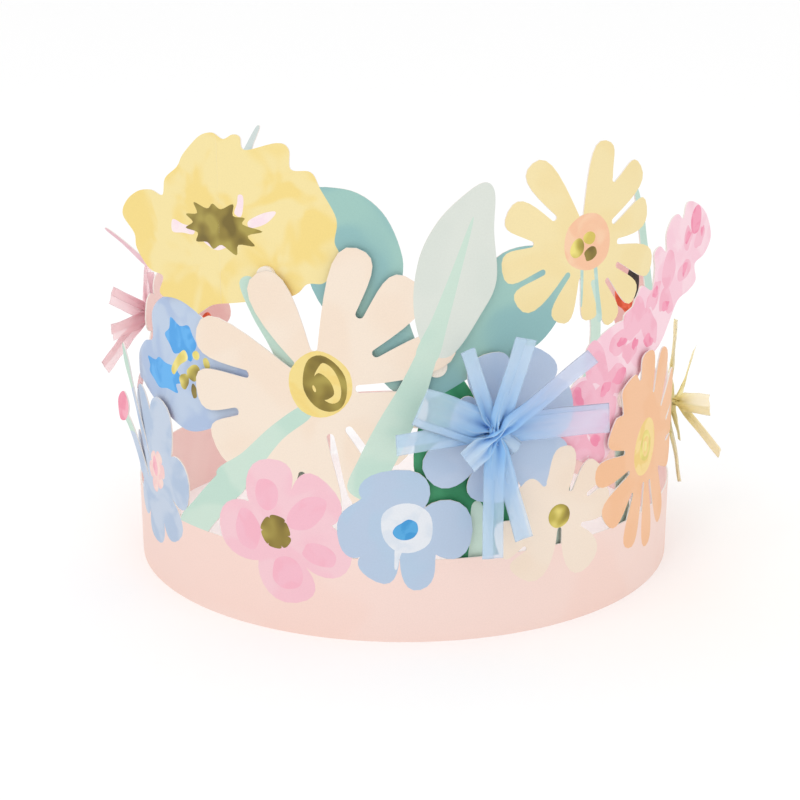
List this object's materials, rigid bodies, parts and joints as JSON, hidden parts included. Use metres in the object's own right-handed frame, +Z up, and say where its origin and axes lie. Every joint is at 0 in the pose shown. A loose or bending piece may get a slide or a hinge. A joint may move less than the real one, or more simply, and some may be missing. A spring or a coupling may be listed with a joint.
{
  "type": "paper flower headpiece",
  "caption": "Paper flower crown: a closed ring of die-cut printed card with a second die-cut layer inside its front and tissue bows on the outside, worn round the head.",
  "frame": {"origin": "on the ring's axis, in the plane of the band's bottom edge", "axes": "+Z up along the ring's axis; the crown's front, with the tall flowers, faces -Y; +X is to the right as seen from the front"},
  "size_m": [0.2124, 0.1879, 0.1502],
  "materials": {
    "printed_card": "smooth printed card, matt",
    "foam": "white foam pad",
    "glue": "dry glue film",
    "blue_tissue": "thin tissue paper",
    "pink_tissue": "thin tissue paper",
    "yellow_tissue": "thin tissue paper"
  },
  "bodies": {
    "root": {"back_card": "printed_card", "blue_bow_pad": "foam", "blue_bow_strip_1": "blue_tissue", "blue_bow_strip_2": "blue_tissue", "blue_bow_strip_3": "blue_tissue", "blue_bow_strip_4": "blue_tissue", "blue_bow_strip_5": "blue_tissue", "foam_pad_01": "foam", "foam_pad_02": "foam", "foam_pad_03": "foam", "foam_pad_04": "foam", "foam_pad_05": "foam", "foam_pad_06": "foam", "foam_pad_07": "foam", "foam_pad_08": "foam", "foam_pad_09": "foam", "foam_pad_10": "foam", "foam_pad_11": "foam", "foam_pad_12": "foam", "front_card": "printed_card", "pink_bow_pad": "foam", "pink_bow_strip_1": "pink_tissue", "pink_bow_strip_2": "pink_tissue", "pink_bow_strip_3": "pink_tissue", "pink_bow_strip_4": "pink_tissue", "strap_glue": "glue", "yellow_bow_pad": "foam", "yellow_bow_strip_1": "yellow_tissue", "yellow_bow_strip_2": "yellow_tissue", "yellow_bow_strip_3": "yellow_tissue", "yellow_bow_strip_4": "yellow_tissue"}
  },
  "joints": []
}
